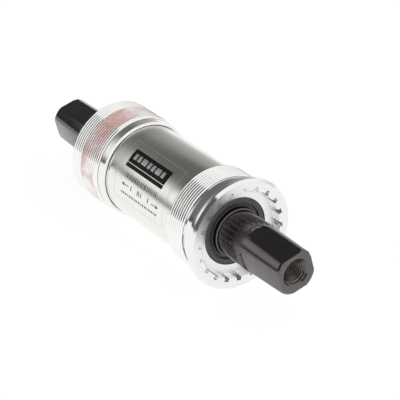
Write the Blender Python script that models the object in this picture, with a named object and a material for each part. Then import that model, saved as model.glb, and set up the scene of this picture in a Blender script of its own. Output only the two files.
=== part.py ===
"""Sealed cartridge bottom bracket for a 68 mm threaded bicycle frame shell.

The spindle runs along +X towards the drive side (the flanged cup). The origin is on
the spindle's axis, halfway along it. Every turning piece has its origin on that axis.
"""
import math

import bmesh
import bpy
from mathutils import Matrix

MM = 0.001
GAP = 0.3 * MM

# Spindle: square-taper ends, 2 degrees a side, tapped for crank bolts.
SPINDLE_HALF = 65.5 * MM
SPINDLE_R = 8.0 * MM
JOURNAL_R = 8.35 * MM
SHOULDER_R = 9.8 * MM
SEAL_LAND_END = 34.6 * MM
TAPER_START = 45.5 * MM
TIP_R = 7.55 * MM
TIP_CHAMFER = 0.7 * MM
FLAT_HALF = 6.35 * MM
FLAT_TILT = math.radians(2.0)
FLAT_ARC_R = 4.0 * MM
FLAT_ARC_X = 49.9 * MM
FLAT_FLARE = 1.0 * MM
SPINDLE_ROLL = math.radians(15.0)
BOLT_R = 3.45 * MM
BOLT_MOUTH_R = 4.9 * MM
BOLT_DEPTH = 24.0 * MM
BOLT_POINT = 1.8 * MM

# Cups: 1.37 inch threads, drawn at their crest radius, with twenty tool splines.
THREAD_R = 17.4 * MM
NECK_R = 17.0 * MM
CUP_CHAMFER = 0.4 * MM
BEARING_BORE_R = 15.15 * MM
SPLINES = 20
SPLINE_TIP_R = 15.0 * MM
SPLINE_ROOT_R = 16.2 * MM
SPLINE_NOTCH = math.radians(5.6)
SPLINE_PHASE = math.radians(15.0)

FLANGE_R = 19.1 * MM
FLANGE_BACK = 34.0 * MM
FLANGE_FRONT = 36.8 * MM
DRIVE_CUP_START = 20.0 * MM
DRIVE_THREAD_END = 29.1 * MM
DRIVE_POCKET_END = 23.7 * MM
WEB_FRONT = 33.5 * MM
WEB_BACK = 32.3 * MM
WEB_HOLE_R = 11.6 * MM

LEFT_CUP_OUT = 37.4 * MM
LEFT_CUP_SEAT = 33.7 * MM
LEFT_THREAD_END = 21.5 * MM
LEFT_CUP_IN = 18.0 * MM
LEFT_LIP_R = 16.5 * MM
LEFT_LIP_BEVEL = 0.9 * MM
LEFT_BORE_R = 16.3 * MM

# Cartridge shell between the cups.
SHELL_R = 15.9 * MM
SHELL_BORE_R = BEARING_BORE_R

# Bearings, 17 x 30 x 7 mm, one at each end.
BEARING_X = 27.7 * MM
BEARING_HALF = 3.5 * MM
BALLS = 11
PITCH_R = 11.75 * MM
BALL_R = 1.95 * MM
RACE_R = 2.15 * MM
OUTER_RING_R = BEARING_BORE_R - GAP
OUTER_LAND_R = 13.3 * MM
INNER_LAND_R = 10.2 * MM
INNER_RING_R = JOURNAL_R + GAP
SHIELD_FACE = 3.3 * MM
SHIELD_THICK = 0.3 * MM
CAGE_IN_R = 10.7 * MM
CAGE_OUT_R = 12.8 * MM
CAGE_BACK = 2.7 * MM
CAGE_TIP = -1.0 * MM
POCKET_R = 2.15 * MM

# Distance tube between the outer rings.
TUBE_OUT_R = 14.7 * MM
TUBE_IN_R = 13.6 * MM

# Seals outside the bearings.
SEAL_IN_R = JOURNAL_R + GAP
SEAL_BACK = 31.5 * MM
SEAL_STEP = 32.0 * MM
SEAL_RIM_R = 13.5 * MM
DRIVE_SEAL_FACE = 33.3 * MM
LEFT_SEAL_FACE = 33.0 * MM

FINE = 64
MEDIUM = 48
COARSE = 32

FINISHES = {
    "bright_alloy": ((0.80, 0.80, 0.79, 1.0), 0.30, 1.0),
    "polished_steel": ((0.62, 0.61, 0.60, 1.0), 0.22, 1.0),
    "black_steel": ((0.030, 0.026, 0.024, 1.0), 0.32, 0.6),
    "bearing_steel": ((0.56, 0.57, 0.58, 1.0), 0.15, 1.0),
    "seal_rubber": ((0.075, 0.072, 0.072, 1.0), 0.70, 0.0),
    "cage_nylon": ((0.62, 0.58, 0.48, 1.0), 0.55, 0.0),
    "tube_plastic": ((0.12, 0.12, 0.13, 1.0), 0.50, 0.0),
}


def clear_scene():
    for item in list(bpy.data.objects):
        bpy.data.objects.remove(item, do_unlink=True)


def finish_for(node, finish):
    """Give the node a material of its own in the named finish."""
    colour, roughness, metallic = FINISHES[finish]
    material = bpy.data.materials.new(node + "_" + finish)
    material.use_nodes = True
    shader = material.node_tree.nodes["Principled BSDF"]
    shader.inputs["Base Color"].default_value = colour
    shader.inputs["Roughness"].default_value = roughness
    shader.inputs["Metallic"].default_value = metallic
    material.diffuse_color = colour
    return material


def add_node(node, shape, finish):
    """Turn a bmesh into a named object with its origin on the spindle's axis."""
    mesh = bpy.data.meshes.new(node)
    bmesh.ops.recalc_face_normals(shape, faces=shape.faces)
    shape.to_mesh(mesh)
    shape.free()
    mesh.materials.append(finish_for(node, finish))
    mesh.shade_smooth()
    mesh.set_sharp_from_angle(angle=math.radians(35.0))
    item = bpy.data.objects.new(node, mesh)
    bpy.context.collection.objects.link(item)
    return item


def even_angles(count):
    return [2.0 * math.pi * index / count for index in range(count)]


def bridge(shape, near, far):
    """Join two rings of a revolved section; a ring of one vertex is a pole."""
    count = max(len(near), len(far))
    if count == 1:
        return
    for index in range(count):
        after = (index + 1) % count
        corners = [near[index % len(near)], near[after % len(near)]]
        corners += [far[after % len(far)], far[index % len(far)]]
        unique = []
        for corner in corners:
            if corner not in unique:
                unique.append(corner)
        shape.faces.new(unique)


def revolve(section, angles):
    """Sweep a closed (x, radius) section round X; a radius may be a function of angle."""
    shape = bmesh.new()
    rings = []
    for x, radius in section:
        if radius == 0.0:
            rings.append([shape.verts.new((x, 0.0, 0.0))])
            continue
        ring = []
        for angle in angles:
            reach = radius(angle) if callable(radius) else radius
            ring.append(shape.verts.new((x, reach * math.cos(angle), reach * math.sin(angle))))
        rings.append(ring)
    for near, far in zip(rings, rings[1:] + rings[:1]):
        bridge(shape, near, far)
    return shape


def flip(section):
    """The same section on the other side of the middle plane."""
    return [(-x, radius) for x, radius in reversed(section)]


def turned(node, section, count, finish):
    return add_node(node, revolve(section, even_angles(count)), finish)


# Splined cups

def spline_angles():
    """Four corners for each tooth: both edges of its notch and of its crest."""
    pitch = 2.0 * math.pi / SPLINES
    crest = pitch - SPLINE_NOTCH
    angles = []
    for index in range(SPLINES):
        middle = SPLINE_PHASE + index * pitch
        for offset in (-0.43, 0.43):
            angles.append(middle + offset * SPLINE_NOTCH)
        for offset in (0.03, 0.97):
            angles.append(middle + 0.5 * SPLINE_NOTCH + offset * crest)
    return angles


def spline_radius(angle):
    pitch = 2.0 * math.pi / SPLINES
    from_notch = (angle - SPLINE_PHASE + 0.5 * pitch) % pitch - 0.5 * pitch
    return SPLINE_ROOT_R if abs(from_notch) < 0.5 * SPLINE_NOTCH else SPLINE_TIP_R


def make_drive_cup():
    section = [
        (DRIVE_CUP_START, SHELL_R + GAP),
        (DRIVE_CUP_START, THREAD_R - CUP_CHAMFER),
        (DRIVE_CUP_START + CUP_CHAMFER, THREAD_R),
        (DRIVE_THREAD_END, THREAD_R),
        (DRIVE_THREAD_END + CUP_CHAMFER, NECK_R),
        (FLANGE_BACK, NECK_R),
        (FLANGE_BACK, FLANGE_R),
        (FLANGE_FRONT - CUP_CHAMFER, FLANGE_R),
        (FLANGE_FRONT, FLANGE_R - CUP_CHAMFER),
        (FLANGE_FRONT, spline_radius),
        (WEB_FRONT, spline_radius),
        (WEB_FRONT, WEB_HOLE_R),
        (WEB_BACK, WEB_HOLE_R),
        (WEB_BACK, BEARING_BORE_R),
        (DRIVE_POCKET_END, BEARING_BORE_R),
        (DRIVE_POCKET_END, SHELL_R + GAP),
    ]
    add_node("drive_cup", revolve(section, spline_angles()), "bright_alloy")


def make_left_cup():
    section = flip([
        (LEFT_CUP_IN, LEFT_BORE_R),
        (LEFT_CUP_IN, LEFT_LIP_R),
        (LEFT_CUP_IN + LEFT_LIP_BEVEL, NECK_R),
        (LEFT_THREAD_END - CUP_CHAMFER, NECK_R),
        (LEFT_THREAD_END, THREAD_R),
        (LEFT_CUP_OUT - CUP_CHAMFER, THREAD_R),
        (LEFT_CUP_OUT, THREAD_R - CUP_CHAMFER),
        (LEFT_CUP_OUT, spline_radius),
        (LEFT_CUP_SEAT, spline_radius),
        (LEFT_CUP_SEAT, LEFT_BORE_R),
    ])
    add_node("left_cup", revolve(section, spline_angles()), "bright_alloy")


# Cartridge

def make_cartridge_shell():
    left_end = -(LEFT_CUP_SEAT - GAP)
    right_end = DRIVE_POCKET_END - GAP
    edge = 0.2 * MM
    section = [
        (left_end, SHELL_BORE_R),
        (left_end, SHELL_R - edge),
        (left_end + edge, SHELL_R),
        (right_end, SHELL_R),
        (right_end, SHELL_BORE_R),
    ]
    turned("cartridge_shell", section, FINE, "polished_steel")


def make_distance_tube():
    end = BEARING_X - BEARING_HALF - GAP
    section = [(-end, TUBE_IN_R), (-end, TUBE_OUT_R), (end, TUBE_OUT_R), (end, TUBE_IN_R)]
    turned("distance_tube", section, COARSE, "tube_plastic")


def make_seals():
    drive = [
        (SEAL_BACK, SEAL_IN_R),
        (SEAL_BACK, SEAL_RIM_R),
        (SEAL_STEP, SEAL_RIM_R),
        (SEAL_STEP, WEB_HOLE_R - GAP),
        (DRIVE_SEAL_FACE, WEB_HOLE_R - GAP),
        (DRIVE_SEAL_FACE, SEAL_IN_R),
    ]
    turned("drive_seal", drive, MEDIUM, "seal_rubber")
    left = flip([
        (SEAL_BACK, SEAL_IN_R),
        (SEAL_BACK, SHELL_BORE_R - GAP),
        (LEFT_SEAL_FACE, SHELL_BORE_R - GAP),
        (LEFT_SEAL_FACE, SEAL_IN_R),
    ])
    turned("left_seal_cap", left, MEDIUM, "seal_rubber")


# Bearings

def race_points(middle, land_r, side):
    """Groove for the balls across a ring's land; side is +1 outside the balls, -1 inside."""
    half_angle = math.acos(abs(land_r - PITCH_R) / RACE_R)
    points = []
    for step in (-1.0, -0.5, 0.0, 0.5, 1.0):
        turn = step * half_angle
        points.append((middle + RACE_R * math.sin(turn), PITCH_R + side * RACE_R * math.cos(turn)))
    return points


def make_rings(side, middle):
    low = middle - BEARING_HALF
    high = middle + BEARING_HALF
    outer = [(low, OUTER_LAND_R)] + race_points(middle, OUTER_LAND_R, 1.0)
    outer += [(high, OUTER_LAND_R), (high, OUTER_RING_R), (low, OUTER_RING_R)]
    turned(side + "_bearing_outer_ring", outer, COARSE, "bearing_steel")
    inner = [(low, INNER_LAND_R)] + race_points(middle, INNER_LAND_R, -1.0)
    inner += [(high, INNER_LAND_R), (high, INNER_RING_R), (low, INNER_RING_R)]
    turned(side + "_bearing_inner_ring", inner, COARSE, "bearing_steel")


def make_shields(side, middle, outboard):
    for name, direction in (("outboard", outboard), ("inboard", -outboard)):
        faces = sorted((middle + direction * SHIELD_FACE,
                        middle + direction * (SHIELD_FACE - SHIELD_THICK)))
        section = [
            (faces[0], INNER_LAND_R + GAP),
            (faces[0], OUTER_LAND_R - GAP),
            (faces[1], OUTER_LAND_R - GAP),
            (faces[1], INNER_LAND_R + GAP),
        ]
        turned(side + "_bearing_" + name + "_shield", section, COARSE, "seal_rubber")


def make_cage(side, middle, outboard):
    """Crown cage: a ring behind the balls with a round pocket open towards the outside."""
    pitch = 2.0 * math.pi / BALLS
    pocket = POCKET_R / PITCH_R
    edge_of_finger = 1.05
    shape = bmesh.new()
    loops = []
    for index in range(BALLS):
        for share in (-edge_of_finger, -1.0, -0.87, -0.5, 0.0, 0.5, 0.87, 1.0, edge_of_finger):
            angle = index * pitch + share * pocket
            depth = CAGE_TIP
            if abs(share) <= 1.0:
                depth = POCKET_R * math.sqrt(1.0 - share * share)
            corners = []
            for radius, offset in ((CAGE_IN_R, depth), (CAGE_OUT_R, depth),
                                   (CAGE_OUT_R, CAGE_BACK), (CAGE_IN_R, CAGE_BACK)):
                corners.append(shape.verts.new((middle - outboard * offset,
                                                radius * math.cos(angle),
                                                radius * math.sin(angle))))
            loops.append(corners)
    for near, far in zip(loops, loops[1:] + loops[:1]):
        bridge(shape, near, far)
    add_node(side + "_bearing_cage", shape, "cage_nylon")


def make_balls(side, middle):
    pitch = 2.0 * math.pi / BALLS
    for index in range(BALLS):
        angle = index * pitch
        place = (middle, PITCH_R * math.cos(angle), PITCH_R * math.sin(angle))
        shape = bmesh.new()
        bmesh.ops.create_icosphere(shape, subdivisions=2, radius=BALL_R,
                                   matrix=Matrix.Translation(place))
        add_node("{}_bearing_ball_{:02d}".format(side, index + 1), shape, "bearing_steel")


def make_bearing(side, outboard):
    middle = outboard * BEARING_X
    make_rings(side, middle)
    make_shields(side, middle, outboard)
    make_cage(side, middle, outboard)
    make_balls(side, middle)


# Spindle

def spindle_section():
    """Half of the section from the bearing shoulder out and back down the bolt hole."""
    shoulder = BEARING_X - BEARING_HALF - GAP
    step = JOURNAL_R - SPINDLE_R
    tip_chamfer_r = TIP_R - TIP_CHAMFER
    mouth = BOLT_MOUTH_R - BOLT_R
    return [
        (shoulder, SHOULDER_R),
        (shoulder, JOURNAL_R),
        (SEAL_LAND_END, JOURNAL_R),
        (SEAL_LAND_END + step, SPINDLE_R),
        (TAPER_START, SPINDLE_R),
        (SPINDLE_HALF - TIP_CHAMFER, TIP_R),
        (SPINDLE_HALF, tip_chamfer_r),
        (SPINDLE_HALF, BOLT_MOUTH_R),
        (SPINDLE_HALF - mouth, BOLT_R),
        (SPINDLE_HALF - BOLT_DEPTH, BOLT_R),
        (SPINDLE_HALF - BOLT_DEPTH - BOLT_POINT, 0.0),
    ]


def flat_cutter(end, quarter):
    """Prism that cuts one flat: round at its inboard end, tilted to the taper."""
    arc_steps = 8
    past_tip = 3.0 * MM
    height = 5.0 * MM
    outline = []
    for index in range(arc_steps + 1):
        angle = 0.5 * math.pi + math.pi * index / arc_steps
        outline.append((FLAT_ARC_X + FLAT_ARC_R * math.cos(angle), FLAT_ARC_R * math.sin(angle)))
    for side in (-1.0, 1.0):
        outline.append((SPINDLE_HALF + past_tip, side * (FLAT_ARC_R + FLAT_FLARE)))
    shape = bmesh.new()
    floor = []
    for x, across in outline:
        depth = FLAT_HALF + (SPINDLE_HALF - x) * math.tan(FLAT_TILT)
        floor.append(shape.verts.new((x, across, depth)))
    top = [shape.verts.new((vert.co.x, vert.co.y, vert.co.z + height)) for vert in floor]
    shape.faces.new(floor)
    shape.faces.new(list(reversed(top)))
    bridge(shape, floor, top)
    turn = Matrix.Rotation(0.5 * math.pi * quarter, 4, "X")
    if end < 0.0:
        turn = Matrix.Rotation(math.pi, 4, "Z") @ turn
    bmesh.ops.transform(shape, matrix=turn, verts=shape.verts)
    return shape


def make_flat_cutters():
    """All eight flats in one hidden cutter."""
    everything = bmesh.new()
    for end in (-1.0, 1.0):
        for quarter in range(4):
            piece = flat_cutter(end, quarter)
            carrier = bpy.data.meshes.new("flat")
            bmesh.ops.recalc_face_normals(piece, faces=piece.faces)
            piece.to_mesh(carrier)
            piece.free()
            everything.from_mesh(carrier)
            bpy.data.meshes.remove(carrier)
    mesh = bpy.data.meshes.new("flat_cutters")
    everything.to_mesh(mesh)
    everything.free()
    cutter = bpy.data.objects.new("flat_cutters", mesh)
    bpy.context.collection.objects.link(cutter)
    cutter.rotation_euler.x = SPINDLE_ROLL
    cutter.hide_render = True
    cutter.display_type = "WIRE"
    return cutter


def make_spindle():
    half = spindle_section()
    section = flip(half) + half
    spindle = turned("spindle", section, MEDIUM, "black_steel")
    cut = spindle.modifiers.new("square_tapers", "BOOLEAN")
    cut.operation = "DIFFERENCE"
    cut.solver = "EXACT"
    cut.object = make_flat_cutters()


def main():
    clear_scene()
    make_spindle()
    make_cartridge_shell()
    make_distance_tube()
    make_seals()
    make_drive_cup()
    make_left_cup()
    make_bearing("drive", 1.0)
    make_bearing("left", -1.0)


main()
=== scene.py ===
import math

import bmesh
import bpy
from mathutils import Matrix, Vector


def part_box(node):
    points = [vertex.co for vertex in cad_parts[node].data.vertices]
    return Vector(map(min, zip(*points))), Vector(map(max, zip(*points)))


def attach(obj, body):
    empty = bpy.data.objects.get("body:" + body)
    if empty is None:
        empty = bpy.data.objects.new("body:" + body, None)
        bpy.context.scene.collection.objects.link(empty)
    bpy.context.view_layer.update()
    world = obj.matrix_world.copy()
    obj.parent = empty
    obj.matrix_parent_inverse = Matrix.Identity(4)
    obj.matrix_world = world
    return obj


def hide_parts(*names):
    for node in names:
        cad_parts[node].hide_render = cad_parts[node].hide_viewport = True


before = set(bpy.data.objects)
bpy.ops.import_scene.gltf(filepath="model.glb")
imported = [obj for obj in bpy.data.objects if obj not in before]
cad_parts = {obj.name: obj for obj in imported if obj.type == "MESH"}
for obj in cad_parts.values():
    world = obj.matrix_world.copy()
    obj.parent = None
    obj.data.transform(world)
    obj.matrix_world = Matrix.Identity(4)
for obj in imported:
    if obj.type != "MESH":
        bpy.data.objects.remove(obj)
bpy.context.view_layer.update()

# Everything is in metres, in the CAD's frame: the spindle runs along +X.
MM = 0.001
TURN = 2.0 * math.pi


# ---------------------------------------------------------------- sizes from the frame

drive_low, drive_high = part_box("drive_cup")
left_low, left_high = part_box("left_cup")
shell_low, shell_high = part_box("cartridge_shell")
spindle_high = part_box("spindle")[1]
seal_low, seal_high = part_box("drive_seal")
cap_low, cap_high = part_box("left_seal_cap")
tube_low, tube_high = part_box("distance_tube")

FLANGE_R = drive_high.z
FLANGE_FRONT = drive_high.x
DRIVE_START = drive_low.x
THREAD_R = left_high.z
LEFT_OUT = left_low.x
LEFT_IN = left_high.x
SHELL_R = shell_high.z
SPINDLE_HALF = spindle_high.x
FLOOR_Z = -FLANGE_R


# ---------------------------------------------------------------- driving dimensions

# Cup threads: 24 to the inch; crank bolt threads: M8 by 1.
CUP_PITCH = 25.4 / 24.0 * MM
CUP_THREAD_DEPTH = 0.56 * MM
BOLT_PITCH = 1.0 * MM
BOLT_MINOR_R = 3.46 * MM
BOLT_MAJOR_R = 4.0 * MM
BOLT_SLEEVE_R = 4.35 * MM
BOLT_MOUTH_R = 4.9 * MM
BOLT_DEPTH = 24.0 * MM
# Thread form as (share of a pitch, share of the depth below the crest).
THREAD_FORM = ((0.0, 0.0), (0.08, 0.0), (0.17, 0.13), (0.48, 1.0), (0.58, 1.0))
# A thread's ends rise this much for each unit along the axis.
THREAD_END_SLOPE = 2.0
# Keys at which a cup section's thread and its neck start to count.
THREAD_KEY = 10
NECK_KEY = 100

# Cups: small bevels everywhere, and the larger ones of the rim and the left cup's lip.
EDGE_BEVEL = 0.18 * MM
FLANGE_BACK = 34.0 * MM
FLANGE_FILLET = 0.35 * MM
FLANGE_BACK_EDGE = 0.15 * MM
DRIVE_THREAD_END = 29.1 * MM
NECK_R = 17.0 * MM
UNDERCUT_R = 16.65 * MM
RIM_BEVEL = 0.85 * MM
WEB_FRONT = 33.5 * MM
WEB_BACK = 32.3 * MM
WEB_HOLE_R = 11.6 * MM
BEARING_BORE_R = 15.15 * MM
DRIVE_POCKET = 23.7 * MM
SHELL_GAP_R = 16.2 * MM

LEFT_SEAT = -33.7 * MM
LEFT_THREAD_END = -21.5 * MM
LEFT_BORE_R = 16.3 * MM
LEFT_MOUTH_R = 16.02 * MM
LEFT_LIP_BEVEL = 0.4 * MM
LEFT_LIP_FACE = 0.30 * MM
LEFT_LIP_EASE = 0.06 * MM
LEFT_LIP_DEPTH = 0.8 * MM

SPLINES = 20
SPLINE_TIP_R = 15.0 * MM
SPLINE_ROOT_R = 16.2 * MM
SPLINE_PHASE = math.radians(15.0)
# One tooth from notch middle to tooth middle: (degrees, millimetres inside the root).
SPLINE_HALF = (
    (0.0, 0.0), (1.8, 0.0), (2.5, 0.12), (2.9, 0.45), (3.15, 1.05), (3.55, 1.2), (6.0, 1.2))
NECK_GROOVE = 0.35 * MM

# Spindle: square tapers cut by flats that end in an arc.
SPINDLE_R = 8.0 * MM
JOURNAL_R = 8.35 * MM
SHOULDER_R = 9.8 * MM
SHOULDER_X = 23.9 * MM
SHOULDER_CHAMFER = 0.3 * MM
SEAL_LAND_END = 34.6 * MM
SEAL_LAND_STEP = 0.12 * MM
TAPER_START = 45.5 * MM
TIP_R = 7.55 * MM
TIP_CHAMFER = 0.7 * MM
FLAT_HALF = 6.35 * MM
FLAT_TILT = math.radians(2.0)
FLAT_ARC_R = 4.0 * MM
FLAT_ARC_X = 49.9 * MM
# The arc's wall leans out this much a unit of height, from this far inside the arc.
FLAT_LEAN = 0.2
FLAT_RAMP = 0.2 * MM
SPINDLE_ROLL = math.radians(15.0)

# Bearings, 17 x 30 x 7 mm.
BEARING_X = 27.7 * MM
BEARING_HALF = 3.5 * MM
BALLS = 11
PITCH_R = 11.75 * MM
BALL_R = 1.95 * MM
RACE_R = 2.15 * MM
OUTER_RING_R = 14.85 * MM
OUTER_LAND_R = 13.3 * MM
INNER_LAND_R = 10.2 * MM
INNER_RING_R = 8.65 * MM

# Seals: the lip round the spindle, the groove outside it, and the drive seal's rim step.
SEAL_LIP_R = 8.85 * MM
SEAL_LIP_IN = 8.48 * MM
SEAL_GROOVE_R = 9.75 * MM
SEAL_GROOVE = 0.85 * MM
SEAL_STEP_X = 32.0 * MM
SEAL_EDGE = 0.15 * MM

# Bearing shields: a ring of each is pressed a little into the bearing.
SHIELD_IN_R = INNER_LAND_R + 0.25 * MM
SHIELD_OUT_R = 13.1 * MM
SHIELD_DISH = 0.08 * MM
SHIELD_DISH_FROM = 11.4 * MM
SHIELD_DISH_TO = 12.8 * MM
SHIELD_DISH_SLOPE = 0.2 * MM

# Thread-locking compound on the left cup; the level is a share of the depth below the crest.
LOCK_FROM = -31.9 * MM
LOCK_TO = -23.3 * MM
LOCK_LEVEL = 0.72
LOCK_FILM = 0.035 * MM
LOCK_SUNK = 0.03 * MM
LOCK_FADE = 0.4 * MM

# Label on the body: its ends, its panel's ends, and its rows in degrees round the axis.
LABEL_X = (-13.0 * MM, 15.3 * MM)
LABEL_TURN = (111.4, 188.0)
PANEL_X = (-10.0 * MM, 11.0 * MM)
PANEL_ROWS = ((121.5, 139.6), (140.6, 145.4))
DIVIDER_ROW = (139.7, 140.5)
BLOCK_ROW = (126.6, 134.4)
MARK_ROW = (151.4, 157.6)
STROKE_ROW = (163.4, 169.4)
BAR_ROW = (175.4, 177.9)
# How far the label's parts stand proud of the steel, and how deep they start in it.
OUTLINE_FILM = 0.012 * MM
MARK_FILM = 0.015 * MM
PANEL_FILM = 0.02 * MM
BLOCK_FILM = 0.04 * MM
LABEL_SUNK = 0.02 * MM

# Edges sharper than this, in degrees, aren't smoothed on the threads.
THREAD_SHARP = 18.0

FINE = 192
MEDIUM = 96

# Camera, from the outside view of the bracket: direction, distance and lens.
CAMERA_AZIMUTH = math.radians(55.32)
CAMERA_ELEVATION = math.radians(28.25)
CAMERA_PLACE = Vector((489.0, -328.8, 313.0)) * MM
CAMERA_LENS = 182.9


# ---------------------------------------------------------------- materials

class Nodes:
    """Short calls for building one material's node tree."""

    def __init__(self, name):
        self.material = bpy.data.materials.new(name)
        self.material.use_nodes = True
        self.tree = self.material.node_tree
        self.shader = self.tree.nodes["Principled BSDF"]

    def add(self, kind, **settings):
        node = self.tree.nodes.new(kind)
        for key, value in settings.items():
            setattr(node, key, value)
        return node

    def wire(self, source, target):
        self.tree.links.new(source, target)

    def math(self, operation, first, second):
        node = self.add("ShaderNodeMath", operation=operation)
        for socket, value in zip(node.inputs, (first, second)):
            if isinstance(value, (int, float)):
                socket.default_value = value
            else:
                self.wire(value, socket)
        return node.outputs[0]

    def place(self):
        """The surface's own coordinates, in metres."""
        return self.add("ShaderNodeTexCoord").outputs["Object"]

    def noise(self, vector, scale, detail=3.0):
        node = self.add("ShaderNodeTexNoise")
        node.inputs["Scale"].default_value = scale
        node.inputs["Detail"].default_value = detail
        self.wire(vector, node.inputs["Vector"])
        return node.outputs["Fac"]

    def axis_place(self):
        """The surface's own X, Y and Z, and its distance from the X axis."""
        split = self.add("ShaderNodeSeparateXYZ")
        self.wire(self.place(), split.inputs[0])
        flat = self.add("ShaderNodeCombineXYZ")
        self.wire(split.outputs["Y"], flat.inputs["Y"])
        self.wire(split.outputs["Z"], flat.inputs["Z"])
        length = self.add("ShaderNodeVectorMath", operation="LENGTH")
        self.wire(flat.outputs[0], length.inputs[0])
        return *split.outputs, length.outputs["Value"]

    def lathe_marks(self, fineness, along):
        """Noise drawn out round the X axis: fineness lines a metre, along sets their length."""
        x, y, z, radius = self.axis_place()
        round_y = self.math("DIVIDE", y, radius)
        round_z = self.math("DIVIDE", z, radius)
        vector = self.add("ShaderNodeCombineXYZ")
        self.wire(self.math("MULTIPLY", x, fineness), vector.inputs["X"])
        self.wire(self.math("MULTIPLY", round_y, along), vector.inputs["Y"])
        self.wire(self.math("MULTIPLY", round_z, along), vector.inputs["Z"])
        node = self.add("ShaderNodeTexNoise", noise_dimensions="4D")
        node.inputs["Scale"].default_value = 1.0
        node.inputs["Detail"].default_value = 2.0
        self.wire(vector.outputs[0], node.inputs["Vector"])
        self.wire(self.math("MULTIPLY", radius, fineness), node.inputs["W"])
        return node.outputs["Fac"]

    def thread_height(self):
        """How far up a cup's thread the surface is: 0 in the root, 1 on the crest."""
        radius = self.axis_place()[-1]
        height = self.add("ShaderNodeMapRange")
        height.inputs["From Min"].default_value = THREAD_R - CUP_THREAD_DEPTH
        height.inputs["From Max"].default_value = THREAD_R
        self.wire(radius, height.inputs["Value"])
        return height.outputs["Result"]

    def span(self, value, low, high, socket, start=0.3, end=0.7):
        """Remap a noise value to low..high and wire it to a socket."""
        node = self.add("ShaderNodeMapRange")
        node.inputs["From Min"].default_value = start
        node.inputs["From Max"].default_value = end
        node.inputs["To Min"].default_value = low
        node.inputs["To Max"].default_value = high
        self.wire(value, node.inputs["Value"])
        self.wire(node.outputs["Result"], socket)

    def shades(self, value, dark, light, start=0.3, end=0.7):
        """Colour between two shades, by a noise value."""
        ramp = self.add("ShaderNodeValToRGB")
        ramp.color_ramp.elements[0].position = start
        ramp.color_ramp.elements[0].color = (*dark, 1.0)
        ramp.color_ramp.elements[1].position = end
        ramp.color_ramp.elements[1].color = (*light, 1.0)
        self.wire(value, ramp.inputs["Fac"])
        self.wire(ramp.outputs["Color"], self.shader.inputs["Base Color"])

    def bump(self, height, strength, distance):
        node = self.add("ShaderNodeBump")
        node.inputs["Strength"].default_value = strength
        node.inputs["Distance"].default_value = distance
        self.wire(height, node.inputs["Height"])
        self.wire(node.outputs["Normal"], self.shader.inputs["Normal"])

    def set(self, **values):
        for key, value in values.items():
            self.shader.inputs[key.replace("_", " ")].default_value = value


def machined_alloy():
    """Bright turned aluminium: fine lathe marks round the axis and on the faces."""
    nodes = Nodes("machined_alloy")
    marks = nodes.lathe_marks(6000.0, 3.0)
    nodes.shades(marks, (0.84, 0.84, 0.83), (0.92, 0.92, 0.91))
    nodes.span(nodes.noise(nodes.place(), 160.0), 0.08, 0.15, nodes.shader.inputs["Roughness"])
    nodes.set(Metallic=1.0)
    nodes.bump(marks, 0.10, 0.00002)
    return nodes.material


def faced_alloy():
    """The cups' flat faces: turned with a coarser feed, so duller than the rest."""
    nodes = Nodes("faced_alloy")
    marks = nodes.lathe_marks(7000.0, 2.5)
    nodes.shades(marks, (0.82, 0.82, 0.81), (0.92, 0.92, 0.91))
    nodes.span(marks, 0.26, 0.40, nodes.shader.inputs["Roughness"])
    nodes.set(Metallic=1.0)
    nodes.bump(marks, 0.14, 0.00002)
    return nodes.material


def threaded_alloy():
    """The cups' threads: bright, with painted shade darkening the roots."""
    nodes = Nodes("threaded_alloy")
    uneven = nodes.math("MULTIPLY", nodes.noise(nodes.place(), 500.0), 0.18)
    height = nodes.math("SUBTRACT", nodes.thread_height(), uneven)
    # Painted shade: colour darkens towards the thread root, by radius, with a little noise.
    nodes.shades(height, (0.22, 0.22, 0.215), (0.92, 0.92, 0.91), 0.0, 0.22)
    nodes.span(nodes.noise(nodes.place(), 160.0), 0.07, 0.13, nodes.shader.inputs["Roughness"])
    nodes.set(Metallic=1.0)
    nodes.bump(nodes.lathe_marks(6000.0, 3.0), 0.12, 0.00002)
    return nodes.material


def brushed_steel():
    """The body tube: polished, then brushed round its circumference."""
    nodes = Nodes("brushed_steel")
    brush = nodes.lathe_marks(6500.0, 4.0)
    nodes.shades(brush, (0.80, 0.79, 0.75), (0.93, 0.92, 0.875))
    nodes.span(nodes.noise(nodes.place(), 120.0), 0.17, 0.25, nodes.shader.inputs["Roughness"])
    nodes.set(Metallic=1.0)
    nodes.bump(brush, 0.12, 0.00002)
    return nodes.material


def blackened_steel():
    """The spindle: black oxide with a film of oil, a little brown and uneven."""
    nodes = Nodes("blackened_steel")
    cloud = nodes.noise(nodes.place(), 260.0)
    nodes.shades(cloud, (0.130, 0.119, 0.118), (0.150, 0.137, 0.137))
    nodes.span(nodes.noise(nodes.place(), 400.0), 0.14, 0.18, nodes.shader.inputs["Roughness"])
    nodes.set(Metallic=1.0)
    nodes.bump(nodes.noise(nodes.place(), 1800.0), 0.02, 0.00001)
    return nodes.material


def tapped_steel():
    """The bolt holes' threads, cut after blackening; their colour is darkened as painted shade for
    the deep bore, with random cloudy tone.
    """
    nodes = Nodes("tapped_steel")
    cloud = nodes.noise(nodes.place(), 800.0, detail=4.0)
    # Painted shade: dark base colour stands in for the shade inside the bore; the cloud noise
    # varies it at random.
    nodes.shades(cloud, (0.08, 0.074, 0.070), (0.17, 0.157, 0.15))
    nodes.set(Metallic=1.0, Roughness=0.34)
    nodes.bump(cloud, 0.10, 0.00003)
    return nodes.material


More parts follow.
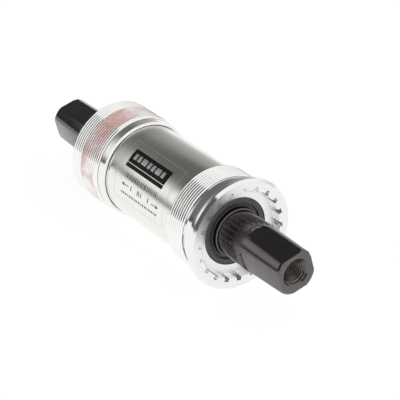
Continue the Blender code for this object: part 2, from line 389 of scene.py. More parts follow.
def thread_lock():
    """A dried film of red compound: thin on the crests, where the metal shows through."""
    nodes = Nodes("thread_lock")
    cloud = nodes.noise(nodes.place(), 220.0)
    nodes.shades(cloud, (1.0, 0.42, 0.37), (1.0, 0.57, 0.52))
    nodes.set(Metallic=0.0)
    uneven = nodes.math("MULTIPLY", cloud, 0.35)
    patches = nodes.math("ADD", nodes.noise(nodes.place(), 60.0), uneven)
    filled = nodes.math("SUBTRACT", patches, nodes.math("MULTIPLY", nodes.thread_height(), 0.22))
    nodes.span(filled, 0.02, 0.76, nodes.shader.inputs["Alpha"], 0.38, 0.76)
    nodes.span(nodes.noise(nodes.place(), 1500.0), 0.24, 0.42, nodes.shader.inputs["Roughness"])
    nodes.bump(cloud, 0.25, 0.0001)
    return nodes.material


def moulded_rubber(name, dark, light):
    nodes = Nodes(name)
    grain = nodes.noise(nodes.place(), 2600.0, detail=5.0)
    nodes.shades(grain, dark, light)
    nodes.span(nodes.noise(nodes.place(), 700.0), 0.42, 0.60, nodes.shader.inputs["Roughness"])
    nodes.bump(grain, 0.20, 0.00005)
    return nodes.material


def label_ink(name, dark, light, roughness, metallic):
    """Etched or printed label film; speckled a little, as ink on brushed steel is."""
    nodes = Nodes(name)
    speckle = nodes.lathe_marks(4200.0, 14.0)
    nodes.shades(speckle, dark, light)
    nodes.set(Metallic=metallic, Roughness=roughness, Specular_IOR_Level=0.25)
    nodes.bump(speckle, 0.10, 0.00001)
    return nodes.material


def ground_steel():
    """Bearing steel, ground and polished."""
    nodes = Nodes("ground_steel")
    marks = nodes.lathe_marks(9000.0, 4.0)
    nodes.shades(marks, (0.60, 0.61, 0.62), (0.74, 0.75, 0.76))
    nodes.span(nodes.noise(nodes.place(), 300.0), 0.08, 0.16, nodes.shader.inputs["Roughness"])
    nodes.set(Metallic=1.0)
    nodes.bump(marks, 0.06, 0.00001)
    return nodes.material


def moulded_nylon(name, dark, light):
    nodes = Nodes(name)
    cloud = nodes.noise(nodes.place(), 900.0, detail=4.0)
    nodes.shades(cloud, dark, light)
    nodes.span(nodes.noise(nodes.place(), 2400.0), 0.40, 0.55, nodes.shader.inputs["Roughness"])
    nodes.bump(nodes.noise(nodes.place(), 6000.0), 0.08, 0.00002)
    return nodes.material


ALLOY = machined_alloy()
FACED = faced_alloy()
THREADED = threaded_alloy()
STEEL = brushed_steel()
BLACK = blackened_steel()
TAPPED = tapped_steel()
LOCK = thread_lock()
RUBBER = moulded_rubber("seal_rubber", (0.062, 0.060, 0.062), (0.096, 0.093, 0.095))
LIP = moulded_rubber("seal_lip", (0.020, 0.020, 0.021), (0.034, 0.033, 0.034))
BALL_STEEL = ground_steel()
NYLON = moulded_nylon("cage_nylon", (0.56, 0.52, 0.42), (0.68, 0.64, 0.54))
TUBE = moulded_nylon("tube_plastic", (0.055, 0.055, 0.060), (0.085, 0.085, 0.090))
INK_BLACK = label_ink("ink_black", (0.005, 0.005, 0.004), (0.011, 0.010, 0.009), 0.50, 0.0)
INK_GREY = label_ink("ink_grey", (0.14, 0.14, 0.135), (0.24, 0.24, 0.23), 0.45, 0.5)
INK_SILVER = label_ink("ink_silver", (0.62, 0.62, 0.60), (0.80, 0.80, 0.78), 0.30, 1.0)
INK_FAINT = label_ink("ink_faint", (0.70, 0.70, 0.68), (0.86, 0.86, 0.84), 0.60, 1.0)


# ---------------------------------------------------------------- shape tools

def piece(name, shape, material, body, stands_for=(), sharp=40.0):
    """Turn a bmesh into a shown piece that rides on a CAD body."""
    bmesh.ops.recalc_face_normals(shape, faces=shape.faces)
    mesh = bpy.data.meshes.new(name)
    shape.to_mesh(mesh)
    shape.free()
    mesh.materials.append(material)
    mesh.shade_smooth()
    mesh.set_sharp_from_angle(angle=math.radians(sharp))
    item = bpy.data.objects.new(name, mesh)
    bpy.context.scene.collection.objects.link(item)
    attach(item, body)
    if stands_for:
        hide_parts(*stands_for)
    return item


def even_angles(count):
    return [TURN * index / count for index in range(count)]


def around(shape, x, radius, angle):
    return shape.verts.new((x, radius * math.cos(angle), radius * math.sin(angle)))


def arc(centre_x, centre_r, radius, first, last, steps=4):
    """Points of a rounded edge in a section; angles in degrees from +X towards +r."""
    points = []
    for index in range(steps + 1):
        angle = math.radians(first + (last - first) * index / steps)
        points.append((centre_x + radius * math.cos(angle), centre_r + radius * math.sin(angle)))
    return points


def keyed(points, first_key):
    """Number a plain stretch of a section, so that neighbouring columns pair up."""
    return [(first_key + index, x, radius) for index, (x, radius) in enumerate(points)]


def zip_columns(shape, near, far):
    """Faces between neighbouring columns of (key, vertex): equal keys pair, odd ones fan."""
    same = 0.04
    endless = 1.0e9
    left = right = 0
    while left < len(near) - 1 or right < len(far) - 1:
        next_left = near[left + 1][0] if left + 1 < len(near) else endless
        next_right = far[right + 1][0] if right + 1 < len(far) else endless
        corners = [near[left][1]]
        if next_left <= next_right + same:
            left += 1
            corners.append(near[left][1])
        if next_right <= next_left + same:
            corners.append(far[right + 1][1])
        corners.append(far[right][1])
        if next_right <= next_left + same:
            right += 1
        shape.faces.new(corners)
    shape.faces.new([near[-1][1], near[0][1], far[0][1], far[-1][1]])


def skin(sections):
    """Closed shape round the axis from a list of (angle, keyed section)."""
    shape = bmesh.new()
    columns = []
    for angle, section in sections:
        columns.append([(key, around(shape, x, radius, angle)) for key, x, radius in section])
    for near, far in zip(columns, columns[1:] + columns[:1]):
        zip_columns(shape, near, far)
    return shape


def turned(section, count):
    """Plain turned shape from a closed section of (x, radius)."""
    return skin([(angle, keyed(section, 0)) for angle in even_angles(count)])


def mirrored(section):
    """The same section at the other end of the bracket."""
    return [(-x, radius) for x, radius in reversed(section)]


def thread(angle, start, end, pitch, hand, crest_r, depth, first_key, lead_in, run_out):
    """Keyed points of a helical thread between start and end, with bevelled ends."""
    shift = (hand * angle / TURN) % 1.0
    clear = 0.02 * pitch
    points = []
    for count in range(-1, int((end - start) / pitch) + 2):
        for share, drop in THREAD_FORM:
            x = start + (count + share + shift) * pitch
            if start + clear < x < end - clear:
                radius = crest_r - drop * depth
                radius = min(radius, lead_in + THREAD_END_SLOPE * (x - start))
                radius = min(radius, run_out + THREAD_END_SLOPE * (end - x))
                points.append((first_key + (x - start) / pitch, x, radius))
    return points


# ---------------------------------------------------------------- splined cups

def spline_columns():
    """Angles round a cup with the spline radius at each: notch, flanks and tooth tip."""
    pitch = TURN / SPLINES
    columns = []
    for index in range(SPLINES):
        middle = SPLINE_PHASE + index * pitch
        half = [(math.radians(turn), SPLINE_ROOT_R - drop * MM) for turn, drop in SPLINE_HALF]
        tooth = [(-turn, radius) for turn, radius in reversed(half[1:])] + half
        columns += [(middle + turn, radius) for turn, radius in tooth]
        columns.append((middle + 0.5 * pitch, SPLINE_TIP_R))
    return columns


def cup(section_at):
    """A cup's closed shape; section_at(angle, spline radius) gives its keyed section."""
    return skin([(angle, section_at(angle, spline_r)) for angle, spline_r in spline_columns()])


def drive_cup_section(angle, spline_r):
    bevel = EDGE_BEVEL
    start = [(DRIVE_START, SHELL_GAP_R + bevel), (DRIVE_START, THREAD_R - CUP_THREAD_DEPTH)]
    threads = thread(angle, DRIVE_START, DRIVE_THREAD_END, CUP_PITCH, -1.0, THREAD_R,
                     CUP_THREAD_DEPTH, THREAD_KEY, THREAD_R - CUP_THREAD_DEPTH, UNDERCUT_R)
    neck = [(DRIVE_THREAD_END, UNDERCUT_R), (DRIVE_THREAD_END + NECK_GROOVE, UNDERCUT_R)]
    neck += arc(DRIVE_THREAD_END + 2.0 * NECK_GROOVE, NECK_R - bevel, bevel, 180.0, 90.0)
    neck += arc(FLANGE_BACK - FLANGE_FILLET, NECK_R + FLANGE_FILLET, FLANGE_FILLET, -90.0, 0.0)
    back = FLANGE_BACK_EDGE
    neck += arc(FLANGE_BACK + back, FLANGE_R - back, back, 180.0, 90.0)
    neck += [(FLANGE_FRONT - RIM_BEVEL, FLANGE_R), (FLANGE_FRONT, FLANGE_R - RIM_BEVEL)]
    neck += [(FLANGE_FRONT, spline_r + bevel), (FLANGE_FRONT - bevel, spline_r)]
    neck += [(WEB_FRONT + bevel, spline_r), (WEB_FRONT, spline_r - bevel)]
    neck += arc(WEB_FRONT - bevel, WEB_HOLE_R + bevel, bevel, 0.0, -90.0)
    neck += [(WEB_BACK, WEB_HOLE_R), (WEB_BACK, BEARING_BORE_R), (DRIVE_POCKET, BEARING_BORE_R)]
    neck += [(DRIVE_POCKET, SHELL_GAP_R), (DRIVE_START + bevel, SHELL_GAP_R)]
    return keyed(start, 0) + threads + keyed(neck, NECK_KEY)


def left_cup_section(angle, spline_r):
    bevel = EDGE_BEVEL
    thread_start = LEFT_OUT + bevel
    start = [(LEFT_SEAT, LEFT_BORE_R), (LEFT_SEAT, spline_r), (LEFT_OUT + bevel, spline_r)]
    start += [(LEFT_OUT, spline_r + bevel), (LEFT_OUT, THREAD_R - CUP_THREAD_DEPTH - bevel)]
    start += [(thread_start, THREAD_R - CUP_THREAD_DEPTH)]
    threads = thread(angle, thread_start, LEFT_THREAD_END, CUP_PITCH, 1.0, THREAD_R,
                     CUP_THREAD_DEPTH, THREAD_KEY, THREAD_R - CUP_THREAD_DEPTH, NECK_R - bevel)
    neck = [(LEFT_THREAD_END, NECK_R - bevel), (LEFT_THREAD_END + bevel, NECK_R - bevel)]
    neck += arc(LEFT_THREAD_END + 2.0 * bevel, NECK_R - bevel, bevel, 180.0, 90.0, 2)
    neck += [(LEFT_IN - LEFT_LIP_BEVEL, NECK_R), (LEFT_IN, LEFT_MOUTH_R + LEFT_LIP_FACE)]
    neck += [(LEFT_IN, LEFT_MOUTH_R + LEFT_LIP_EASE), (LEFT_IN - LEFT_LIP_EASE, LEFT_MOUTH_R)]
    neck += [(LEFT_IN - LEFT_LIP_DEPTH, LEFT_MOUTH_R), (LEFT_IN - LEFT_LIP_DEPTH, LEFT_BORE_R)]
    return keyed(start, 0) + threads + keyed(neck, NECK_KEY)


def dress_cup(item, start, end):
    """Give a cup's thread, and its flat faces, their own materials."""
    item.data.materials.append(THREADED)
    item.data.materials.append(FACED)
    facing = 0.95
    root = THREAD_R - CUP_THREAD_DEPTH - 0.01 * MM
    for face in item.data.polygons:
        centre = face.center
        if start < centre.x < end and math.hypot(centre.y, centre.z) > root:
            face.material_index = 1
        elif abs(face.normal.x) > facing:
            face.material_index = 2


def make_cups():
    drive = piece("drive_cup_machined", cup(drive_cup_section), ALLOY, "cartridge",
                  ["drive_cup"], sharp=THREAD_SHARP)
    dress_cup(drive, DRIVE_START, DRIVE_THREAD_END)
    left = piece("left_cup_machined", cup(left_cup_section), ALLOY, "left_cup",
                 ["left_cup"], sharp=THREAD_SHARP)
    dress_cup(left, LEFT_OUT, LEFT_THREAD_END)


def make_thread_lock():
    """The red film follows the left cup's thread; its edges wander a little."""
    fill_r = THREAD_R - LOCK_LEVEL * CUP_THREAD_DEPTH
    core_r = THREAD_R - CUP_THREAD_DEPTH - 0.1 * MM
    thread_start = LEFT_OUT + EDGE_BEVEL

    def section(angle):
        wander = 0.25 * math.sin(3.0 * angle + 0.6) + 0.15 * math.sin(7.0 * angle + 2.0)
        wander += 0.08 * math.sin(17.0 * angle)
        low = LOCK_FROM + wander * MM
        high = LOCK_TO + 0.8 * wander * MM
        grooves = thread(angle, thread_start, LEFT_THREAD_END, CUP_PITCH, 1.0, THREAD_R,
                         CUP_THREAD_DEPTH, THREAD_KEY, THREAD_R - CUP_THREAD_DEPTH, NECK_R)
        inside = [point for point in grooves if low < point[1] < high]
        coat = []
        for key, x, radius in inside:
            from_edge = min(x - inside[0][1], inside[-1][1] - x)
            share = min(1.0, from_edge / LOCK_FADE)
            level = max(radius, fill_r) + LOCK_FILM
            coat.append((key, x, radius - LOCK_SUNK + share * (level - radius + LOCK_SUNK)))
        first = [(coat[0][0] - 0.3, coat[0][1], core_r)]
        last = [(coat[-1][0] + 0.3, coat[-1][1], core_r)]
        return first + coat + last

    shape = skin([(angle, section(angle)) for angle in even_angles(FINE)])
    piece("thread_lock_band", shape, LOCK, "left_cup", sharp=THREAD_SHARP)


# ---------------------------------------------------------------- body and seals

def make_body():
    """The tube, with rolled edges."""
    edge = 0.25 * MM
    section = [(shell_low.x, BEARING_BORE_R)]
    section += arc(shell_low.x + edge, SHELL_R - edge, edge, 180.0, 90.0)
    section += arc(shell_high.x - edge, SHELL_R - edge, edge, 90.0, 0.0)
    section += [(shell_high.x, BEARING_BORE_R)]
    piece("body_tube", turned(section, FINE), STEEL, "cartridge",
          ["cartridge_shell"])


def make_drive_seal():
    """A flat face, a groove, and a lip that stands round the spindle."""
    face = seal_high.x
    rim_r = seal_high.z
    gap = 0.12 * MM
    hole_r = WEB_HOLE_R - gap
    groove_x = face - SEAL_GROOVE
    ease = 0.05 * MM
    lip_end = face - 0.12 * MM
    lip_half = 0.5 * (SEAL_LIP_R - SEAL_LIP_IN)
    section = [(seal_low.x, SEAL_LIP_IN), (seal_low.x, rim_r), (SEAL_STEP_X, rim_r)]
    section += [(SEAL_STEP_X, hole_r)]
    section += arc(face - SEAL_EDGE, hole_r - SEAL_EDGE, SEAL_EDGE, 90.0, 0.0)
    section += arc(face - SEAL_EDGE, SEAL_GROOVE_R + SEAL_EDGE, SEAL_EDGE, 0.0, -90.0)
    section += [(groove_x, SEAL_GROOVE_R), (groove_x, SEAL_GROOVE_R - ease)]
    section += [(groove_x, SEAL_LIP_R + ease), (groove_x + 2.0 * ease, SEAL_LIP_R)]
    section += arc(lip_end, SEAL_LIP_IN + lip_half, lip_half, 80.0, -80.0, 6)
    section += [(face - 0.6 * MM, SEAL_LIP_IN)]
    piece("drive_seal_moulded", turned(section, FINE), RUBBER, "cartridge",
          ["drive_seal"])


def make_left_seal():
    """A dished cap with a lip, drawn here as if it were at the drive end, then mirrored."""
    face = -cap_low.x
    back = -cap_high.x
    rim_r = cap_high.z + 0.1 * MM
    dish = 0.25 * MM
    dish_from = 10.4 * MM
    dish_to = 13.4 * MM
    slope = 0.2 * MM
    ease = 0.1 * MM
    lip_edge = 0.3 * MM
    section = [(back, SEAL_LIP_IN), (back, rim_r), (face - slope, rim_r), (face, rim_r - slope)]
    section += [(face, dish_to), (face - dish, dish_to - slope)]
    section += [(face - dish, dish_from + slope), (face, dish_from), (face, SEAL_LIP_R + ease)]
    section += [(face - lip_edge, SEAL_LIP_R), (face - ease, SEAL_LIP_IN + ease)]
    section += [(face - lip_edge, SEAL_LIP_IN)]
    piece("left_seal_moulded", turned(mirrored(section), FINE), RUBBER, "cartridge",
          ["left_seal_cap"])


# ---------------------------------------------------------------- spindle

def spindle_end():
    """Half of the spindle's section, from the bearing shoulder out and down its bore."""
    mouth = BOLT_MOUTH_R - BOLT_SLEEVE_R
    return [
        (SHOULDER_X - SHOULDER_CHAMFER, SHOULDER_R),
        (SHOULDER_X, SHOULDER_R - SHOULDER_CHAMFER),
        (SHOULDER_X, JOURNAL_R),
        (SEAL_LAND_END, JOURNAL_R),
        (SEAL_LAND_END + SEAL_LAND_STEP, SPINDLE_R),
        (TAPER_START, SPINDLE_R),
        (SPINDLE_HALF - TIP_CHAMFER, TIP_R),
        (SPINDLE_HALF, TIP_R - TIP_CHAMFER),
        (SPINDLE_HALF, BOLT_MOUTH_R),
        (SPINDLE_HALF - mouth, BOLT_SLEEVE_R),
        (SPINDLE_HALF - BOLT_DEPTH, BOLT_SLEEVE_R),
    ]


def flat_cutters():
    """One bmesh of eight prisms tilted to the taper; their inner ends are round and lean out."""
    arc_steps = 24
    past_tip = 3.0 * MM
    height = 5.0 * MM
    flare = 1.0 * MM
    outline = []
    for index in range(arc_steps + 1):
        angle = 0.5 * math.pi + math.pi * index / arc_steps
        inward = math.cos(angle)
        outline.append((FLAT_ARC_X + FLAT_ARC_R * inward, FLAT_ARC_R * math.sin(angle), inward))
    for side in (-1.0, 1.0):
        outline.append((SPINDLE_HALF + past_tip, side * (FLAT_ARC_R + flare), 0.0))
    shape = bmesh.new()
    for end in (0.0, math.pi):
        for quarter in range(4):
            turn = Matrix.Rotation(0.5 * math.pi * quarter + SPINDLE_ROLL, 4, "X")
            turn = turn @ Matrix.Rotation(end, 4, "Z")
            floor = []
            top = []
            for x, across, inward in outline:
                depth = FLAT_HALF + (SPINDLE_HALF - x) * math.tan(FLAT_TILT)
                foot = x - inward * FLAT_RAMP
                head = x + inward * (height * FLAT_LEAN - FLAT_RAMP)
                floor.append(shape.verts.new(turn @ Vector((foot, across, depth))))
                top.append(shape.verts.new(turn @ Vector((head, across, depth + height))))
            shape.faces.new(floor)
            shape.faces.new(list(reversed(top)))
            for index in range(len(floor)):
                after = (index + 1) % len(floor)
                shape.faces.new([floor[index], floor[after], top[after], top[index]])
    bmesh.ops.triangulate(shape, faces=shape.faces)
    bmesh.ops.recalc_face_normals(shape, faces=shape.faces)
    return shape


def applied(item):
    """Replace an object's mesh by what its modifiers make of it."""
    graph = bpy.context.evaluated_depsgraph_get()
    mesh = bpy.data.meshes.new_from_object(item.evaluated_get(graph))
    item.modifiers.clear()
    item.data = mesh


def spindle_blank():
    """The turned spindle with a bore at each end that runs out to a drill point."""
    bottom = SPINDLE_HALF - BOLT_DEPTH - 1.8 * MM
    half = spindle_end()
    shape = bmesh.new()
    angles = even_angles(FINE)
    rings = []
    for x, radius in mirrored(half) + half:
        rings.append([around(shape, x, radius, angle) for angle in angles])
    for near, far in zip(rings, rings[1:]):
        for index in range(FINE):
            after = (index + 1) % FINE
            shape.faces.new([near[index], near[after], far[after], far[index]])
    for ring, end in ((rings[0], -1.0), (rings[-1], 1.0)):
        pole = shape.verts.new((end * bottom, 0.0, 0.0))
        for index in range(FINE):
            shape.faces.new([ring[index], ring[(index + 1) % FINE], pole])
    return shape


def make_spindle():
    """The blank with its flats cut and its edges eased."""
    item = piece("spindle_blackened", spindle_blank(), BLACK, "spindle",
                 ["spindle"])
    cutter_mesh = bpy.data.meshes.new("flat_cutters")
    cutters = flat_cutters()
    cutters.to_mesh(cutter_mesh)
    cutters.free()
    cutter = bpy.data.objects.new("flat_cutters", cutter_mesh)
    bpy.context.scene.collection.objects.link(cutter)
    cut = item.modifiers.new("tapers", "BOOLEAN")
    cut.operation = "DIFFERENCE"
    cut.solver = "EXACT"
    cut.object = cutter
    ease = item.modifiers.new("edges", "BEVEL")
    ease.width = 0.10 * MM
    ease.segments = 2
    ease.limit_method = "ANGLE"
    ease.angle_limit = math.radians(18.0)
    bpy.context.view_layer.update()
    applied(item)
    bpy.data.objects.remove(cutter, do_unlink=True)
    item.data.shade_smooth()
    item.data.set_sharp_from_angle(angle=math.radians(22.0))


def make_bolt_threads():
    """Tapped liner of each bolt hole, one closed sleeve at each end of the spindle."""
    sleeve_r = BOLT_SLEEVE_R - 0.01 * MM
    depth = BOLT_MAJOR_R - BOLT_MINOR_R
    mouth = SPINDLE_HALF - 0.8 * MM
    inner = SPINDLE_HALF - 21.0 * MM

    def section(angle):
        plain = [(0, inner, BOLT_MAJOR_R), (1, inner, sleeve_r), (2, mouth + 0.25 * MM, sleeve_r)]
        # An inside thread: its crests are at the minor radius and its roots at the major one.
        cuts = thread(angle, inner, mouth, BOLT_PITCH, -1.0, 0.0, 1.0, 0, 1.0, 1.0)
        inside = []
        for key, x, drop in reversed(cuts):
            radius = BOLT_MINOR_R - drop * depth
            radius = max(radius, BOLT_MAJOR_R - (mouth - x))
            inside.append((100.0 - key, x, radius))
        return plain + [(3, mouth, BOLT_MAJOR_R)] + inside

    for name, end in (("bolt_thread_drive", 0.0), ("bolt_thread_left", math.pi)):
        shape = skin([(angle, section(angle)) for angle in even_angles(MEDIUM)])
        bmesh.ops.transform(shape, matrix=Matrix.Rotation(end, 4, "Z"), verts=shape.verts)
        piece(name, shape, TAPPED, "spindle")


# ---------------------------------------------------------------- bearings

def race(middle, land_r, side):
    """Points of a ball groove; side is 1 in the outer ring and -1 in the inner ring."""
    half_angle = math.acos(abs(land_r - PITCH_R) / RACE_R)
    points = []
    steps = 10
    for index in range(steps + 1):
        turn = (2.0 * index / steps - 1.0) * half_angle
        points.append((middle + RACE_R * math.sin(turn), PITCH_R + side * RACE_R * math.cos(turn)))
    return points


def make_rings(side, middle):
    """The outer and the inner ring, each with its ball groove."""
    low = middle - BEARING_HALF
    high = middle + BEARING_HALF
    soft = 0.3 * MM
    for ring, body, land_r, seat_r, way in (
            ("outer", "cartridge", OUTER_LAND_R, OUTER_RING_R, 1.0),
            ("inner", "spindle", INNER_LAND_R, INNER_RING_R, -1.0)):
        section = [(low, land_r)] + race(middle, land_r, way) + [(high, land_r)]
        section += [(high, seat_r - way * soft), (high - soft, seat_r)]
        section += [(low + soft, seat_r), (low, seat_r - way * soft)]
        node = side + "_bearing_" + ring + "_ring"
        piece(node + "_ground", turned(section, MEDIUM), BALL_STEEL, body, [node])


def make_shield(node, direction):
    """A thin disc between the rings; both faces dish towards the inside of the bearing."""
    shield_low, shield_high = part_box(node)
    dish = direction * SHIELD_DISH
    flat_from = SHIELD_DISH_FROM + SHIELD_DISH_SLOPE
    flat_to = SHIELD_DISH_TO - SHIELD_DISH_SLOPE
    near = shield_low.x
    far = shield_high.x
    section = [(near, SHIELD_IN_R), (near, SHIELD_DISH_FROM), (near - dish, flat_from)]
    section += [(near - dish, flat_to), (near, SHIELD_DISH_TO), (near, SHIELD_OUT_R)]
    section += [(far, SHIELD_OUT_R), (far, SHIELD_DISH_TO), (far - dish, flat_to)]
    section += [(far - dish, flat_from), (far, SHIELD_DISH_FROM), (far, SHIELD_IN_R)]
    piece(node + "_moulded", turned(section, MEDIUM), LIP, "cartridge", [node])


def make_balls(side):
    """A smooth ball at the place of each CAD ball."""
    for index in range(BALLS):
        node = "{}_bearing_ball_{:02d}".format(side, index + 1)
        low_corner, high_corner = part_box(node)
        shape = bmesh.new()
        centre = Matrix.Translation(0.5 * (low_corner + high_corner))
        bmesh.ops.create_uvsphere(shape, u_segments=24, v_segments=16, radius=BALL_R, matrix=centre)
        piece(node + "_ground", shape, BALL_STEEL, side + "_cage", [node])


def make_bearing(side, outboard):
    """One bearing; the cage keeps its CAD shape. outboard is 1 at the drive end, -1 at the left."""
    make_rings(side, outboard * BEARING_X)
    for name, direction in (("outboard", outboard), ("inboard", -outboard)):
        make_shield(side + "_bearing_" + name + "_shield", direction)
    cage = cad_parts[side + "_bearing_cage"]
    cage.data.materials.clear()
    cage.data.materials.append(NYLON)
    make_balls(side)


def make_distance_tube():
    """Plain plastic tube with its edges eased."""
    edge = 0.25 * MM
    inner_r = 13.6 * MM
    section = arc(tube_low.x + edge, tube_high.z - edge, edge, 180.0, 90.0, 2)
    section += arc(tube_high.x - edge, tube_high.z - edge, edge, 90.0, 0.0, 2)
    section += [(tube_high.x, inner_r + edge), (tube_high.x - edge, inner_r)]
    section += [(tube_low.x + edge, inner_r), (tube_low.x, inner_r + edge)]
    piece("distance_tube_moulded", turned(section, MEDIUM), TUBE, "cartridge",
          ["distance_tube"])


# ---------------------------------------------------------------- label on the body

def film_plate(shape, outline, film):
    """A thin plate bent round the body; outline is a loop of (x, degrees round the axis)."""
    base = []
    top = []
    for x, turn in outline:
        angle = math.radians(turn)
        base.append(around(shape, x, SHELL_R - LABEL_SUNK, angle))
        top.append(around(shape, x, SHELL_R + film, angle))
    shape.faces.new(list(reversed(top)))
    shape.faces.new(base)
    for index in range(len(base)):
        after = (index + 1) % len(base)
        shape.faces.new([base[index], base[after], top[after], top[index]])


def film_box(shape, x_low, x_high, turn_low, turn_high, film):
    """A rectangle of label film, cut into narrow strips so that it follows the body."""
    strips = max(1, int(math.ceil((turn_high - turn_low) / 2.0)))
    for index in range(strips):
        first = turn_low + (turn_high - turn_low) * index / strips
        last = turn_low + (turn_high - turn_low) * (index + 1) / strips
        film_plate(shape, [(x_low, first), (x_high, first), (x_high, last), (x_low, last)], film)


def make_label_outline():
    line = 0.16 * MM
    thin = 0.6
    x_low, x_high = LABEL_X
    turn_low, turn_high = LABEL_TURN
    shape = bmesh.new()
    film_box(shape, x_low, x_high, turn_low, turn_low + thin, OUTLINE_FILM)
    film_box(shape, x_low, x_high, turn_high - thin, turn_high, OUTLINE_FILM)
    film_box(shape, x_low, x_low + line, turn_low + thin, turn_high - thin, OUTLINE_FILM)
    film_box(shape, x_high - line, x_high, turn_low + thin, turn_high - thin, OUTLINE_FILM)
    piece("label_outline", shape, INK_FAINT, "cartridge")


def make_label_panel():
    """The dark panel, and the silver blocks and divider on it."""
    shape = bmesh.new()
    for row in PANEL_ROWS:
        film_box(shape, *PANEL_X, *row, PANEL_FILM)
    piece("label_panel", shape, INK_BLACK, "cartridge")

    shape = bmesh.new()
    x = PANEL_X[0] + 1.6 * MM
    for width in (1.5, 1.5, 2.6, 1.5, 1.5, 2.6, 1.5):
        film_box(shape, x, x + width * MM, *BLOCK_ROW, BLOCK_FILM)
        x += (width + 0.75) * MM
    film_box(shape, *PANEL_X, *DIVIDER_ROW, PANEL_FILM)
    piece("label_blocks", shape, INK_SILVER, "cartridge")


def make_label_marks():
    """Rows of plain strokes and bars, widths and starts in millimetres."""
    stroke = 0.4
    shape = bmesh.new()
    x = -7.7 * MM
    for width in (1.3, 1.3, 0.5, 0.6, 1.3, 1.3, 0.9, 1.3, 1.3, 1.3):
        for start in (0.0, width - stroke):
            film_box(shape, x + start * MM, x + (start + stroke) * MM, *MARK_ROW, MARK_FILM)
        x += (width + 0.72) * MM
    for start in (-3.6, 0.2, 1.0, 2.2, 6.3):
        film_box(shape, start * MM, (start + 0.45) * MM, *STROKE_ROW, MARK_FILM)
    x = -8.7 * MM
    for index in range(17):
        width = 0.95 if index % 3 else 0.55
        film_box(shape, x, x + width * MM, *BAR_ROW, MARK_FILM)
        x += (width + 0.44) * MM
    piece("label_marks", shape, INK_GREY, "cartridge")


def make_label_arrows():
    """Two arrows that point outwards; head and shaft half-widths in degrees."""
    head_half = 2.4
    shaft_half = 0.55
    shape = bmesh.new()
    for tip, way, middle in ((-8.9 * MM, 1.0, 165.8), (12.6 * MM, -1.0, 167.4)):
        head = tip + way * 1.5 * MM
        tail = tip + way * 4.1 * MM
        corners = sorted((head, tail))
        film_box(shape, *corners, middle - shaft_half, middle + shaft_half, MARK_FILM)
        outline = [(tip, middle), (head, middle - head_half), (head, middle + head_half)]
        film_plate(shape, outline, MARK_FILM)
    piece("label_arrows", shape, INK_GREY, "cartridge")


# ---------------------------------------------------------------- floor, light and camera

def ramp_of(tree, value, stops):
    """A colour ramp of greys: stops are (height of the direction, brightness)."""
    ramp = tree.nodes.new("ShaderNodeValToRGB")
    ramp.color_ramp.interpolation = "EASE"
    elements = ramp.color_ramp.elements
    while len(elements) < len(stops):
        elements.new(0.5)
    for element, (height, shade) in zip(elements, stops):
        element.position = 0.5 + 0.5 * height
        element.color = (shade, shade, shade, 1.0)
    tree.links.new(value, ramp.inputs["Fac"])
    return ramp.outputs["Color"]


def blend(tree, value, start, end, first, second):
    """First colour below start, second above end, with a soft change between."""
    change = tree.nodes.new("ShaderNodeMapRange")
    change.interpolation_type = "SMOOTHSTEP"
    change.inputs["From Min"].default_value = start
    change.inputs["From Max"].default_value = end
    tree.links.new(value, change.inputs["Value"])
    mix = tree.nodes.new("ShaderNodeMix")
    mix.data_type = "RGBA"
    tree.links.new(change.outputs["Result"], mix.inputs["Factor"])
    tree.links.new(first, mix.inputs["A"])
    tree.links.new(second, mix.inputs["B"])
    return mix.outputs["Result"]


def make_studio():
    """A pale room, dark overhead and at the far left; the camera itself sees white."""
    world = bpy.data.worlds.new("studio")
    world.use_nodes = True
    bpy.context.scene.world = world
    tree = world.node_tree
    coordinates = tree.nodes.new("ShaderNodeTexCoord")
    split = tree.nodes.new("ShaderNodeSeparateXYZ")
    tree.links.new(coordinates.outputs["Generated"], split.inputs[0])
    height = tree.nodes.new("ShaderNodeMapRange")
    height.inputs["From Min"].default_value = -1.0
    height.inputs["From Max"].default_value = 1.0
    tree.links.new(split.outputs["Z"], height.inputs["Value"])
    behind = ramp_of(tree, height.outputs["Result"], (
        (-0.10, 1.00), (0.0, 0.76), (0.14, 0.55), (0.27, 0.44), (0.40, 0.39), (0.51, 0.34),
        (0.59, 0.24), (0.64, 0.15), (0.72, 0.12), (1.0, 0.16)))
    front = ramp_of(tree, height.outputs["Result"], (
        (-0.04, 1.00), (0.0, 0.05), (0.06, 0.13), (0.12, 0.35), (0.20, 0.80), (0.27, 1.04),
        (0.42, 1.00), (0.50, 0.80), (0.575, 0.46), (0.65, 0.16), (0.72, 0.13), (1.0, 0.16)))
    room = blend(tree, split.outputs["Y"], -0.12, 0.12, front, behind)
    window = tree.nodes.new("ShaderNodeRGB").outputs["Color"]
    window.default_value = (1.0, 1.0, 1.0, 1.0)
    viewer = ramp_of(tree, height.outputs["Result"], ((-0.04, 1.0), (0.0, 0.10), (0.9, 0.10)))
    right = blend(tree, split.outputs["Y"], -0.24, -0.14, viewer, window)
    room = blend(tree, split.outputs["X"], -0.15, 0.30, room, right)
    room = blend(tree, split.outputs["X"], 0.72, 0.84, room, window)
    left = ramp_of(tree, height.outputs["Result"], (
        (-0.04, 1.00), (0.0, 0.05), (0.20, 0.16), (0.60, 0.14), (1.0, 0.16)))
    room = blend(tree, split.outputs["X"], -0.82, -0.755, left, room)
    path = tree.nodes.new("ShaderNodeLightPath")
    room = blend(tree, path.outputs["Is Camera Ray"], 0.0, 1.0, room, window)
    background = tree.nodes["Background"]
    tree.links.new(room, background.inputs["Color"])
    background.inputs["Strength"].default_value = 1.0


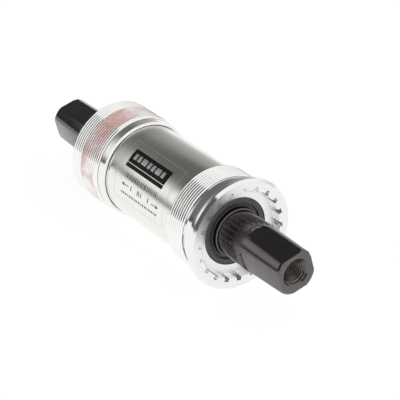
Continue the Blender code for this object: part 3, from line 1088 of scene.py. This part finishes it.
def make_floor():
    """White paper that lights itself a little, as an overexposed sweep does."""
    nodes = Nodes("paper")
    nodes.shades(nodes.noise(nodes.place(), 3.0), (0.095, 0.095, 0.095), (0.105, 0.105, 0.105))
    nodes.set(Roughness=0.9, Specular_IOR_Level=0.0)
    nodes.set(Emission_Color=(1.0, 1.0, 1.0, 1.0), Emission_Strength=0.95)
    shape = bmesh.new()
    bmesh.ops.create_circle(shape, cap_ends=True, segments=96, radius=4.0)
    mesh = bpy.data.meshes.new("paper")
    shape.to_mesh(mesh)
    shape.free()
    mesh.materials.append(nodes.material)
    floor = bpy.data.objects.new("paper", mesh)
    floor.location.z = FLOOR_Z - 0.05 * MM
    bpy.context.scene.collection.objects.link(floor)


def make_lamp(name, place, size, power):
    """A soft lamp aimed at the bracket, which the metal doesn't mirror."""
    light = bpy.data.lights.new(name, "AREA")
    light.shape = "DISK"
    light.size = size
    light.energy = power
    lamp = bpy.data.objects.new(name, light)
    lamp.location = place
    lamp.rotation_euler = (-Vector(place)).to_track_quat("-Z", "Y").to_euler()
    lamp.visible_glossy = False
    lamp.visible_camera = False
    bpy.context.scene.collection.objects.link(lamp)


def make_camera():
    camera = bpy.data.objects.new("camera", bpy.data.cameras.new("camera"))
    camera.data.sensor_width = 36.0
    camera.data.lens = CAMERA_LENS
    camera.data.clip_start = 0.01
    tilt = 0.5 * math.pi - CAMERA_ELEVATION
    camera.rotation_euler = (tilt, 0.0, CAMERA_AZIMUTH)
    camera.location = CAMERA_PLACE
    bpy.context.scene.collection.objects.link(camera)
    bpy.context.scene.camera = camera


make_cups()
make_thread_lock()
make_body()
make_drive_seal()
make_left_seal()
make_spindle()
make_bolt_threads()
make_bearing("drive", 1.0)
make_bearing("left", -1.0)
make_distance_tube()
make_label_outline()
make_label_panel()
make_label_marks()
make_label_arrows()
make_studio()
make_floor()
make_lamp("overhead", (0.10, 0.15, 0.80), 0.7, 1.1)
make_lamp("front_left", (-0.30, -0.70, 0.45), 0.5, 0.7)
make_camera()
bpy.context.scene.view_settings.view_transform = "Standard"
